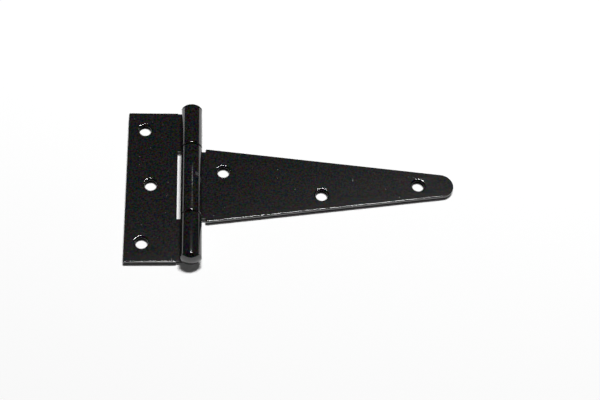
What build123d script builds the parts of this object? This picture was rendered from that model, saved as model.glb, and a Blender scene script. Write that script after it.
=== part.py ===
from build123d import *
import math
import os

# A tee hinge: a rectangular plate leaf and a long tapered strap, each one piece of rolled sheet steel,
# turning on a riveted pin. It lies on its back: X runs out along the strap, Y along the pin, Z up.
# The origin is under the middle of the pin, on the plane of the two leaves' backs. Sizes are in millimetres.

# Sheet and pin
sheet = 2.8
pin_radius = 3.175
pin_clearance = 0.075
edge_round = 0.5

# Plate leaf
leaf_height = 102.0
leaf_reach = 37.2
leaf_corner = 0.8
cutout_edge = 8.1
ear_set_back = 0.7
seam_gap = 0.45

# Strap leaf
strap_length = 152.4
strap_tip_radius = 7.7
shoulder_start = 8.1
shoulder_step = 2.3
shoulder_corner = 0.9
strap_knuckle = 45.6

# Rolled knuckles
roll_end_gap = 0.15
knuckle_ease = 0.6

# Pin heads
head_rim = 0.4
head_dome = 2.8

# Screw holes, countersunk from the front
screw_hole = 6.7
countersink = 8.8
countersink_angle = 90
lip_width = 0.3
lip_drop = 0.12
leaf_screw_reach = 27.3
leaf_screw_spacing = 77.0
leaf_middle_screw_reach = 23.2
strap_root_screw = (18.4, 9.1)
strap_middle_screw = (74.8, -6.7)
strap_tip_screw = (131.6, 0.0)

# Sizes that follow from the ones above
bore_radius = pin_radius + pin_clearance
barrel_radius = bore_radius + sheet
head_radius = barrel_radius
knuckle_end = leaf_height / 2 - ear_set_back
ear_start = strap_knuckle / 2 + seam_gap
pin_axis = Axis((0, 0, barrel_radius), (0, 1, 0))
free_end_angle = math.degrees(math.acos(1 - (sheet + roll_end_gap) / barrel_radius))
wrap_angle = 360 - free_end_angle


def countersunk_hole(x, y):
    """One screw hole through the sheet, opened out by a cone at the front face, with the cone's lip eased."""
    shank = Pos(x, y, sheet / 2) * Cylinder(screw_hole / 2, 2 * sheet)
    slope = math.tan(math.radians(countersink_angle / 2))
    cone_height = countersink / 2 / slope
    cone = Pos(x, y, sheet - cone_height / 2) * Cone(0, countersink / 2, cone_height)
    lip_radius = countersink / 2 - lip_drop * slope
    eased_lip = Pos(x, y, sheet - lip_drop / 2) * Cone(lip_radius, lip_radius + lip_width, lip_drop)
    return shank + cone + eased_lip


def rolled_leaf(corners, corner_radius, tab_reach, side):
    """One leaf, from the corners to be rounded of its flat outline.

    The outline lies on one side of the pin, -1 or 1, and its tabs run from tab_reach to the line under the pin.
    The press rounds the front edges of the flat and leaves its back edges sharp. The tabs' back edges are
    eased, because each tab is then rolled round the pin from its end face, with its back outwards."""
    blank = extrude(fillet(corners, corner_radius), sheet)
    back = blank.faces().sort_by(Axis.Z)[0]
    tab_rim = [edge for edge in back.edges() if edge_round < abs(edge.center().X) < tab_reach - edge_round]
    leaf = chamfer(tab_rim, knuckle_ease)
    front = leaf.faces().sort_by(Axis.Z)[-1]
    flat_rim = [edge for edge in front.edges() if abs(edge.center().X) > tab_reach - edge_round]
    leaf = fillet(flat_rim, edge_round)
    tab_ends = [face for face in leaf.faces() if abs(face.center().X) < edge_round]
    for tab_end in tab_ends:
        leaf += revolve(tab_end, pin_axis, side * wrap_angle)
    return leaf


def plate_leaf():
    """The rectangular leaf: a plate cut out beside the barrel, with an ear at each end rolled round the pin."""
    width = leaf_reach - cutout_edge
    outline = Pos(-cutout_edge - width / 2, 0) * Rectangle(width, leaf_height)
    for y in (-1, 1):
        ear_centre = y * (ear_start + knuckle_end) / 2
        outline += Pos(-cutout_edge / 2, ear_centre) * Rectangle(cutout_edge, knuckle_end - ear_start)
    leaf = rolled_leaf(outline.vertices().sort_by(Axis.X)[:2], leaf_corner, cutout_edge, -1)
    for y in (-leaf_screw_spacing / 2, leaf_screw_spacing / 2):
        leaf -= countersunk_hole(-leaf_screw_reach, y)
    return leaf - countersunk_hole(-leaf_middle_screw_reach, 0)


def strap_leaf():
    """The strap: square shoulders at the root, straight sides that close on a round tip, one wide knuckle."""
    half = strap_knuckle / 2 + shoulder_step
    tip_centre = strap_length - strap_tip_radius
    run = tip_centre - shoulder_start
    taper = math.atan2(half, run) - math.asin(strap_tip_radius / math.hypot(run, half))
    meet_x = tip_centre + strap_tip_radius * math.sin(taper)
    meet_y = strap_tip_radius * math.cos(taper)
    upper = Line((shoulder_start, half), (meet_x, meet_y))
    tip = ThreePointArc((meet_x, meet_y), (strap_length, 0), (meet_x, -meet_y))
    lower = Line((meet_x, -meet_y), (shoulder_start, -half))
    root = Line((shoulder_start, -half), (shoulder_start, half))
    outline = make_face([upper, tip, lower, root])
    outline += Pos(shoulder_start / 2, 0) * Rectangle(shoulder_start, strap_knuckle)
    rows = outline.vertices().group_by(Axis.Y)
    strap = rolled_leaf(rows[0] + rows[-1], shoulder_corner, shoulder_start, 1)
    for x, y in (strap_root_screw, strap_middle_screw, strap_tip_screw):
        strap -= countersunk_hole(x, y)
    return strap


def hinge_pin():
    """The pin: a plain shank with a low domed head riveted over each end of the barrel."""
    rim_end = knuckle_end + head_rim
    crown = rim_end + head_dome
    dome_radius = (head_radius**2 + head_dome**2) / (2 * head_dome)
    dome_middle = head_radius / 2
    dome_height = crown - dome_radius + math.sqrt(dome_radius**2 - dome_middle**2)
    middle = Line((0, 0), (pin_radius, 0))
    side = Line((pin_radius, 0), (pin_radius, knuckle_end))
    under_head = Line((pin_radius, knuckle_end), (head_radius, knuckle_end))
    rim = Line((head_radius, knuckle_end), (head_radius, rim_end))
    dome = ThreePointArc((head_radius, rim_end), (dome_middle, dome_height), (0, crown))
    centre_line = Line((0, crown), (0, 0))
    half = make_face([middle, side, under_head, rim, dome, centre_line])
    turned = revolve(half, Axis.Y)
    pin = turned + mirror(turned, Plane.XZ)
    return Pos(0, 0, barrel_radius) * pin


os.makedirs("parts", exist_ok=True)
export_step(plate_leaf(), "parts/plate_leaf.step")
export_step(strap_leaf(), "parts/strap_leaf.step")
export_step(hinge_pin(), "parts/hinge_pin.step")
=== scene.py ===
# %% [markdown]
# # A black tee hinge on a white table
# The imported parts come in as a fixed frame: a rectangular plate leaf, a long tapered strap and the
# pin they turn on. Everything is in metres, with X out along the strap, Y along the pin and Z up,
# and the leaves' backs lie on z = 0. The parts could be modelled again here, but their shapes and
# sizes are already exact, so the script only coats and lights them.

# %% Load the hinge
import math
import bpy
import bmesh
from mathutils import Matrix, Vector

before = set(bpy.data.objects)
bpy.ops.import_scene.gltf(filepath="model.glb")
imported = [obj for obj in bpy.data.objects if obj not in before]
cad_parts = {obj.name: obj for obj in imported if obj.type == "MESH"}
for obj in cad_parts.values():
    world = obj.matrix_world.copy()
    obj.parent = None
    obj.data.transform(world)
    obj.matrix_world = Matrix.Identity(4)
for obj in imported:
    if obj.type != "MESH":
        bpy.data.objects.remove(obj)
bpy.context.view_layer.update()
MM = 0.001

# %% [markdown]
# ## Where the camera is
# The picture is taken from the pin's near end, looking down at the table, with the camera a little
# turned and tilted. A camera could be placed by hand until the outlines agree. Here it was fitted
# to the hinge's edges and screw holes, so its turn, height and tilt are plain angles. A helper
# makes a direction of a turn and a height, because the lamp is placed by such angles too.

# %% Camera direction
NEAR_END = -1.0
camera_turn = math.radians(-8.685)
camera_height = math.radians(56.850)
camera_tilt = math.radians(7.439)


def direction(turn, height, end):
    """A unit vector towards the near or far end of the pin, turned sideways and raised."""
    return Vector((
        math.sin(turn) * math.cos(height),
        end * math.cos(turn) * math.cos(height),
        math.sin(height),
    ))


towards_camera = direction(camera_turn, camera_height, NEAR_END)
level_right = Vector((math.cos(camera_turn), math.sin(camera_turn), 0.0))
level_up = towards_camera.cross(level_right)
right = level_right * math.cos(camera_tilt) + level_up * math.sin(camera_tilt)
up = level_up * math.cos(camera_tilt) - level_right * math.sin(camera_tilt)
print("towards the camera", [round(value, 2) for value in towards_camera])

# %% [markdown]
# ## The camera
# A camera has X to its right, Y up and Z out of its back. It could be aimed by a constraint to a
# target, but the three directions are known now, so they become the columns of its matrix, and it
# stands back from the point that it looks at. The fit also gave the focal length in pixels, and the
# sensor's width turns that into a lens in millimetres.

# %% Camera
PICTURE_WIDTH = 600
FOCAL_PIXELS = 1184.7
SENSOR_MM = 36.0
CLIP_START = 10.0 * MM
CAMERA_DISTANCE = 682.33 * MM
looked_at = Vector((62.34, -8.49, 0.0)) * MM


def looking_back(across, along, outwards, target, distance):
    """The matrix of something that stands outwards of the target and looks back at it."""
    pose = Matrix((across, along, outwards)).transposed().to_4x4()
    pose.translation = target + outwards * distance
    return pose


camera_data = bpy.data.cameras.new("camera")
camera_data.sensor_width = SENSOR_MM
camera_data.lens = FOCAL_PIXELS * SENSOR_MM / PICTURE_WIDTH
camera_data.clip_start = CLIP_START
camera = bpy.data.objects.new("camera", camera_data)
bpy.context.scene.collection.objects.link(camera)
camera.matrix_world = looking_back(right, up, towards_camera, looked_at, CAMERA_DISTANCE)
bpy.context.scene.camera = camera
print("lens", round(camera_data.lens, 1), "mm")

# %% [markdown]
# ## Helpers for node materials
# A finish is a small network of nodes: each takes values in through its sockets and hands a value
# on. It could be wired by hand in the shader editor. In a script a few helpers keep the cells
# short: the first two add a node and join nodes, and each of the others adds one node, joins what
# goes into it and returns what comes out of it.

# %% Adding and joining nodes


def add_node(tree, kind, **settings):
    """A new node of that kind, with its settings and, for names of sockets, its input values."""
    node = tree.nodes.new(kind)
    for name, value in settings.items():
        if name in node.inputs:
            node.inputs[name].default_value = value
        else:
            setattr(node, name, value)
    return node


def join(tree, output, node, socket):
    """Joins an output to an input of the node, which is given by its name or number."""
    tree.links.new(output, node.inputs[socket])


print("pieces to coat:", sorted(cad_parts))

# %% Arithmetic


def maths(tree, operation, first, second):
    """One step of arithmetic on an output and another output or a plain number."""
    node = add_node(tree, "ShaderNodeMath", operation=operation)
    join(tree, first, node, 0)
    if isinstance(second, float):
        node.inputs[1].default_value = second
    else:
        join(tree, second, node, 1)
    return node.outputs["Value"]


def vector_maths(tree, operation, place, amount=(0.0, 0.0, 0.0)):
    """One step of arithmetic on a place; a distance comes out as a number."""
    node = add_node(tree, "ShaderNodeVectorMath", operation=operation)
    join(tree, place, node, 0)
    node.inputs[1].default_value = amount
    return node.outputs["Value" if operation == "DISTANCE" else "Vector"]


def parts_of(tree, place):
    """The X, Y and Z outputs of a place."""
    node = add_node(tree, "ShaderNodeSeparateXYZ")
    join(tree, place, node, "Vector")
    return node.outputs


print("made the helpers for arithmetic")

# %% Ramps and noise


def ramp(tree, value, low, high, dark=0.0, light=1.0, curve="SMOOTHSTEP"):
    """A value that goes from dark to light while the other goes from low to high."""
    node = add_node(tree, "ShaderNodeMapRange", interpolation_type=curve)
    limits = {"From Min": low, "From Max": high, "To Min": dark, "To Max": light}
    for socket, limit in limits.items():
        node.inputs[socket].default_value = limit
    join(tree, value, node, "Value")
    return node.outputs["Result"]


def noise(tree, place, scale, detail, roughness=0.5):
    """A cloudy pattern with about that many clouds to the metre."""
    settings = {"Scale": scale, "Detail": detail, "Roughness": roughness}
    node = add_node(tree, "ShaderNodeTexNoise", **settings)
    join(tree, place, node, "Vector")
    return node.outputs


print("made the helpers for ramps and noise")

# %% [markdown]
# ## Rub marks
# Where something slid along the barrel, the enamel has lost its gloss and gone a little grey. Such
# a mark could be painted on, but no picture is needed: it is a small soft-edged box in the part's
# own coordinates, broken up by noise, and the coat is paler and duller inside it.

# %% Rub marks
SOFT_EDGE = (1.0, 0.3)
SCRATCH_SCALE = 1400.0
SCRATCH_DETAIL = 2.0
SCRATCH_LIMITS = (0.35, 0.6)
SCRATCH_GAP = 0.25
RUB_MARKS = {  # the centre and half size in mm, and how strong it is
    "strap_leaf": [
        ((0.6, -0.4, 12.05), (0.4, 11.0, 0.4), 0.55),  # the line along the knuckle's top
        ((0.6, -14.5, 12.05), (0.4, 7.0, 0.4), 0.25),  # its fainter end
        ((3.4, 2.0, 10.80), (1.6, 1.6, 1.3), 1.0),  # the scuff beside it
        ((93.4, 3.5, 2.80), (0.4, 1.4, 0.2), 0.6),  # the scratch on the strap
    ],
}


def rub_mark(tree, place, centre_mm, half_mm, strength):
    """A factor of up to the strength inside the mark's box, which falls off to its sides."""
    offset = vector_maths(tree, "SUBTRACT", place, Vector(centre_mm) * MM)
    distance = vector_maths(tree, "ABSOLUTE", offset)
    sides = parts_of(tree, vector_maths(tree, "DIVIDE", distance, Vector(half_mm) * MM))
    furthest = maths(tree, "MAXIMUM", sides["X"], sides["Y"])
    furthest = maths(tree, "MAXIMUM", furthest, sides["Z"])
    inside = ramp(tree, furthest, *SOFT_EDGE, light=strength)
    scratches = noise(tree, place, SCRATCH_SCALE, SCRATCH_DETAIL)["Fac"]
    broken = ramp(tree, scratches, *SCRATCH_LIMITS, dark=SCRATCH_GAP)
    return maths(tree, "MULTIPLY", inside, broken)


print("rub marks:", {name: len(marks) for name, marks in RUB_MARKS.items()})

# %% [markdown]
# ## The screw holes' walls
# The screw holes are punched, and down in them the coat hardly reaches, so the walls are dull.
# Their near-black colour, set as a metal that mirrors next to nothing of the white table, is
# painted shade for the dark inside of the holes. The walls could be given a material of their own,
# but then the coat would end at a hard line. Instead the distance from the nearest screw's axis
# tells the coat where it is in a hole.

# %% Hole walls
WALL_RADIUS = 3.36 * MM
COAT_RADIUS = 3.45 * MM
FLATTEN = (1.0, 1.0, 0.0)
SCREWS_MM = {
    "plate_leaf": [(-27.3, 38.5), (-23.2, 0.0), (-27.3, -38.5)],
    "strap_leaf": [(18.4, 9.1), (74.8, -6.7), (131.6, 0.0)],
}


def in_hole(tree, place, screws_mm):
    """A factor that is 1 on the walls of the screw holes and 0 on the rest of the piece."""
    plan = vector_maths(tree, "MULTIPLY", place, FLATTEN)
    nearest = None
    for x, y in screws_mm:
        distance = vector_maths(tree, "DISTANCE", plan, (x * MM, y * MM, 0.0))
        if nearest is None:
            nearest = distance
        else:
            nearest = maths(tree, "MINIMUM", nearest, distance)
    return ramp(tree, nearest, COAT_RADIUS, WALL_RADIUS)


print("screw holes:", {name: len(screws) for name, screws in SCREWS_MM.items()})

# %% [markdown]
# ## The enamel's grain
# Seen close, black enamel isn't one black: it has a fine grain that also shifts a little in colour.
# The grain could come from a scanned picture, but that would repeat and would need a file. Here
# noise moves red, green and blue apart, each between two near blacks.

# %% Grain
GRAIN_SCALE = 950.0
GRAIN_DETAIL = 3.0
GRAIN_ROUGHNESS = 0.6
GRAIN_LIMITS = {
    "From_Min_FLOAT3": (0.41, 0.41, 0.41),
    "From_Max_FLOAT3": (0.59, 0.59, 0.59),
    "To_Min_FLOAT3": (0.0010, 0.0010, 0.0012),
    "To_Max_FLOAT3": (0.0195, 0.0190, 0.0190),
}


def grain_colour(tree, place):
    """The enamel's near black, with a fine grain in each colour channel."""
    kind = {"data_type": "FLOAT_VECTOR", "interpolation_type": "SMOOTHSTEP"}
    tone = add_node(tree, "ShaderNodeMapRange", **kind)
    grain = noise(tree, place, GRAIN_SCALE, GRAIN_DETAIL, GRAIN_ROUGHNESS)
    join(tree, grain["Color"], tone, "Vector")
    sockets = {socket.identifier: socket for socket in tone.inputs}
    for name, limit in GRAIN_LIMITS.items():
        sockets[name].default_value = limit
    return tone.outputs["Vector"]


print("about", round(1.0 / GRAIN_SCALE / MM, 1), "mm from grain to grain")

# %% [markdown]
# ## Dust in the coat
# A few pale specks of dust stuck while the enamel was wet. They could be placed one by one, but
# their places are chance. A cell pattern has one point in each cell, and the cell's own random
# value says how large the speck there is, if there is one.

# %% Dust specks
SPECK_SCALE = 300.0
SPECK_CHANCE = (0.2, 1.0)
SPECK_RADIUS = 0.08
SPECK_STRENGTH = 0.5


def dust_specks(tree, place):
    """A factor that is more than 0 on the specks of dust only."""
    cells = add_node(tree, "ShaderNodeTexVoronoi", Scale=SPECK_SCALE)
    join(tree, place, cells, "Vector")
    chance = add_node(tree, "ShaderNodeSeparateColor")
    join(tree, cells.outputs["Color"], chance, "Color")
    radius = ramp(tree, chance.outputs["Red"], *SPECK_CHANCE, light=SPECK_RADIUS)
    speck = maths(tree, "LESS_THAN", cells.outputs["Distance"], radius)
    return maths(tree, "MULTIPLY", speck, SPECK_STRENGTH)


print("about", round(1.0 / SPECK_SCALE / MM, 1), "mm from cell to cell")

# %% [markdown]
# ## Haze, ripple and sag
# The enamel dries to a high gloss, a little hazier towards the strap's tip. It also dries with an
# orange-peel ripple and a slower sag. All three could be left out, but a perfectly even gloss looks
# like plastic. So the roughness rises slowly along the strap, and two bumps, one on top of the
# other, tilt the surface by a very little.

# %% Haze, ripple and sag
HAZE_FROM = 8.0 * MM
HAZE_TO = 145.0 * MM
PIN_ROUGHNESS = 0.073
TIP_ROUGHNESS = 0.110
BUMP_HEIGHT = 0.2 * MM
RIPPLE = {"scale": 700.0, "detail": 2.0, "strength": 0.04}
SAG = {"scale": 260.0, "detail": 1.0, "strength": 0.10}


def haze(tree, place):
    """The enamel's roughness, which grows from the pin to the strap's tip."""
    along = parts_of(tree, place)["X"]
    return ramp(tree, along, HAZE_FROM, HAZE_TO, PIN_ROUGHNESS, TIP_ROUGHNESS, "LINEAR")


def bump(tree, place, scale, detail, strength):
    """A bump node on a noise of that scale and detail."""
    node = add_node(tree, "ShaderNodeBump", Strength=strength, Distance=BUMP_HEIGHT)
    join(tree, noise(tree, place, scale, detail)["Fac"], node, "Height")
    return node


def uneven_coat(tree, place):
    """The direction of the enamel's surface, with its ripple and its sag."""
    ripple = bump(tree, place, **RIPPLE)
    sag = bump(tree, place, **SAG)
    join(tree, ripple.outputs["Normal"], sag, "Normal")
    return sag.outputs["Normal"]


print("roughness from", PIN_ROUGHNESS, "to", TIP_ROUGHNESS)

# %% [markdown]
# ## The black coat
# The hinge is sprayed with black enamel, pin and all, so every piece has the same coat. One shared
# material would run its grain on from piece to piece, as if the hinge were one block. So each piece
# gets a coat of its own, with its pattern shifted, its own rub marks and its own screw holes.

# %% Black coat
SIDE_SHIFT = 0.37
FADED_ENAMEL = (0.075, 0.075, 0.072, 1.0)
FADED_ROUGHNESS = 0.30
# painted shade: a near-black metal that mirrors next to nothing, for the dark inside of the screw
# holes
PAINTED_HOLE_SHADE = (0.004, 0.004, 0.004, 1.0)
BARE_ROUGHNESS = 0.75
ENAMEL_IOR = 1.80


def turned_into(tree, kind, factor, plain, other):
    """A plain value or colour that turns into the other one where the factor is 1."""
    node = add_node(tree, "ShaderNodeMix", data_type=kind)
    join(tree, factor, node, "Factor")
    join(tree, plain, node, "A")
    node.inputs["B"].default_value = other
    return node.outputs["Result"]


def black_coat(name, shift, marks, screws_mm):
    """Gloss black enamel on steel; the shift moves its pattern, so that no two pieces share it."""
    material = bpy.data.materials.new(name)
    material.use_nodes = True
    tree = material.node_tree
    shader = tree.nodes["Principled BSDF"]
    place = add_node(tree, "ShaderNodeTexCoord").outputs["Object"]
    mapping = add_node(tree, "ShaderNodeMapping", Location=(shift, SIDE_SHIFT * shift, 0.0))
    join(tree, place, mapping, "Vector")
    shifted = mapping.outputs["Vector"]

    worn = dust_specks(tree, shifted)
    for mark in marks:
        worn = maths(tree, "MAXIMUM", worn, rub_mark(tree, place, *mark))
    colour = turned_into(tree, "RGBA", worn, grain_colour(tree, shifted), FADED_ENAMEL)
    roughness = turned_into(tree, "FLOAT", worn, haze(tree, place), FADED_ROUGHNESS)
    # In the screw holes the colour and the metal are painted shade; only the higher roughness is the
    # dull wall's own.
    if screws_mm:
        hole = in_hole(tree, place, screws_mm)
        colour = turned_into(tree, "RGBA", hole, colour, PAINTED_HOLE_SHADE)
        roughness = turned_into(tree, "FLOAT", hole, roughness, BARE_ROUGHNESS)
        join(tree, hole, shader, "Metallic")
    join(tree, colour, shader, "Base Color")
    join(tree, roughness, shader, "Roughness")
    join(tree, uneven_coat(tree, shifted), shader, "Normal")
    shader.inputs["IOR"].default_value = ENAMEL_IOR
    return material


print("the enamel's index of refraction:", ENAMEL_IOR)

# %% Coat the pieces
PATTERN_SHIFT = 0.11
for index, (node_name, node) in enumerate(sorted(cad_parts.items())):
    marks = RUB_MARKS.get(node_name, [])
    screws_mm = SCREWS_MM.get(node_name, [])
    coat = black_coat("coat_" + node_name, PATTERN_SHIFT * index, marks, screws_mm)
    node.data.materials.clear()
    node.data.materials.append(coat)
    print("coated", node_name, "with", len(coat.node_tree.nodes), "nodes")

# %% [markdown]
# ## Enamel runs round the edges
# The parts come in as flat triangles, so a rounded edge would shine as a few separate strips. On
# the hinge the coat lies round every edge in one smooth line. The edges could be bevelled again,
# but the roundings are already there: a small group of geometry nodes shades the triangles smoothly
# across every bend of up to 65 degrees.

# %% Smooth coat
SMOOTH_BEND = math.radians(65.0)
smooth_coat = bpy.data.node_groups.new("smooth_coat", "GeometryNodeTree")
for way in ("INPUT", "OUTPUT"):
    smooth_coat.interface.new_socket("Geometry", in_out=way, socket_type="NodeSocketGeometry")
bare = add_node(smooth_coat, "NodeGroupInput")
coated = add_node(smooth_coat, "NodeGroupOutput")
faces = add_node(smooth_coat, "GeometryNodeSetShadeSmooth", domain="FACE")
edges = add_node(smooth_coat, "GeometryNodeSetShadeSmooth", domain="EDGE")
bend = add_node(smooth_coat, "GeometryNodeInputMeshEdgeAngle")
gentle = add_node(smooth_coat, "FunctionNodeCompare", data_type="FLOAT", operation="LESS_THAN")
gentle.inputs["B"].default_value = SMOOTH_BEND
join(smooth_coat, bare.outputs["Geometry"], faces, "Geometry")
join(smooth_coat, faces.outputs["Geometry"], edges, "Geometry")
join(smooth_coat, bend.outputs["Unsigned Angle"], gentle, "A")
join(smooth_coat, gentle.outputs["Result"], edges, "Shade Smooth")
join(smooth_coat, edges.outputs["Geometry"], coated, "Geometry")
print("smooth up to", round(math.degrees(SMOOTH_BEND)), "degrees")

# %% [markdown]
# ## Welded triangles and flat faces
# Shading can only run on from one triangle to the next where they share corners, and the parts'
# triangles are loose. Their meshes could be merged for good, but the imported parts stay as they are,
# so a modifier welds them and the group above smooths them. A third modifier lets the largest
# triangle at a corner count most, so that a flat face stays flat up to its rounded edge.

# %% Weld, smooth and flatten
WELD_GAP = 0.002 * MM
FLAT_WEIGHT = 100
for node_name, node in sorted(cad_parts.items()):
    weld = node.modifiers.new("weld", "WELD")
    weld.merge_threshold = WELD_GAP
    smooth = node.modifiers.new("smooth", "NODES")
    smooth.node_group = smooth_coat
    flats = node.modifiers.new("flats", "WEIGHTED_NORMAL")
    flats.keep_sharp = True
    flats.weight = FLAT_WEIGHT
    print("smoothed", node_name, len(node.data.polygons), "triangles")

# %% [markdown]
# ## The table
# The hinge lies on a white table that is so bright in the picture that only the shadow right beside
# the steel shows. A plain white background would have no shadow, so the table is a real floor: one
# large square, a hair below the hinge's back.

# %% Table top
TABLE_HALF = 4.0
TABLE_DROP = 0.02 * MM
table_mesh = bpy.data.meshes.new("table")
flat = bmesh.new()
bmesh.ops.create_grid(flat, x_segments=1, y_segments=1, size=TABLE_HALF)
flat.to_mesh(table_mesh)
flat.free()
table = bpy.data.objects.new("table", table_mesh)
table.location.z = -TABLE_DROP
bpy.context.scene.collection.objects.link(table)
print("table", 2 * TABLE_HALF, "m square")

# %% [markdown]
# ## White paint on the table
# The table is matt white. It could be lit until it is pure white, but then the lamp would be too
# strong for the hinge. So a small share of its brightness is its own, for what looks straight at it
# and for what mirrors it, and the faint end of a shadow fades out.

# %% Table paint
TABLE_WHITE = (0.93, 0.93, 0.93, 1.0)
OWN_WHITE = (1.0, 1.0, 1.0, 1.0)
OWN_STRENGTH = 1.0
OWN_SHARE = 0.05
table_paint = bpy.data.materials.new("table_paint")
table_paint.use_nodes = True
tree = table_paint.node_tree
tree.nodes.clear()
surface = add_node(tree, "ShaderNodeOutputMaterial")
matt = add_node(tree, "ShaderNodeBsdfDiffuse", Color=TABLE_WHITE)
glow = add_node(tree, "ShaderNodeEmission", Color=OWN_WHITE, Strength=OWN_STRENGTH)
ray = add_node(tree, "ShaderNodeLightPath").outputs
seen = maths(tree, "MAXIMUM", ray["Is Camera Ray"], ray["Is Glossy Ray"])
seen = maths(tree, "MAXIMUM", seen, ray["Is Transmission Ray"])
paint = add_node(tree, "ShaderNodeMixShader")
join(tree, maths(tree, "MULTIPLY", seen, OWN_SHARE), paint, "Fac")
join(tree, matt.outputs["BSDF"], paint, 1)
join(tree, glow.outputs["Emission"], paint, 2)
join(tree, paint.outputs["Shader"], surface, "Surface")
table_mesh.materials.append(table_paint)
print("the table's own share of white:", OWN_SHARE)

# %% [markdown]
# ## The room
# The flat faces mirror next to nothing and stay black, so the room is dim, with a paler strip low
# down behind the hinge. Walls could be built for it, but only what the gloss mirrors matters: the
# world's brightness falls off with the height and towards the near side.

# %% Room
STRIP_HEIGHT = (0.05, 0.55)
STRIP_LIGHT = 0.40
ROOM_LIGHT = 0.03
BEHIND = (0.3, 0.95)
NEAR_SHARE = 0.10
world = bpy.data.worlds.new("room")
bpy.context.scene.world = world
world.use_nodes = True
tree = world.node_tree
facing = parts_of(tree, add_node(tree, "ShaderNodeTexCoord").outputs["Generated"])
strip = ramp(tree, facing["Z"], *STRIP_HEIGHT, dark=STRIP_LIGHT, light=ROOM_LIGHT)
behind = ramp(tree, facing["Y"], *BEHIND, dark=NEAR_SHARE)
brightness = maths(tree, "MULTIPLY", strip, behind)
join(tree, brightness, tree.nodes["Background"], "Strength")
print("wall behind the hinge, low down and high up:", STRIP_LIGHT, ROOM_LIGHT)

# %% [markdown]
# ## The lamp
# One long lamp hangs high behind the hinge, a little to the right. It lights the table, and every
# rounded edge across its path mirrors it as a thin bright line: the near edges, the rims of the
# holes and the ends of the knuckles. A sun would give sharper shadows but only dots on the edges,
# so the lamp is a long rectangle.

# %% Lamp
FAR_END = 1.0
LAMP_LONG = 0.98
LAMP_SHORT = 0.30
LAMP_WATTS = 104.0
LAMP_DISTANCE = 3.0
LIT_ALONG_STRAP = 60.0 * MM
lamp_turn = math.radians(13.0)
lamp_height = math.radians(69.2)
lit_place = Vector((LIT_ALONG_STRAP, 0.0, 0.0))

towards_lamp = direction(lamp_turn, lamp_height, FAR_END)
along_pin = Vector((0.0, 1.0, 0.0))
long_side = along_pin.cross(towards_lamp).normalized()
short_side = towards_lamp.cross(long_side)
lamp_data = bpy.data.lights.new("lamp", "AREA")
lamp_data.shape = "RECTANGLE"
lamp_data.size = LAMP_LONG
lamp_data.size_y = LAMP_SHORT
lamp_data.energy = LAMP_WATTS
lamp = bpy.data.objects.new("lamp", lamp_data)
lamp.matrix_world = looking_back(long_side, short_side, towards_lamp, lit_place, LAMP_DISTANCE)
bpy.context.scene.collection.objects.link(lamp)
bpy.context.scene.view_settings.view_transform = "Standard"
print("lamp towards", [round(value, 2) for value in towards_lamp])
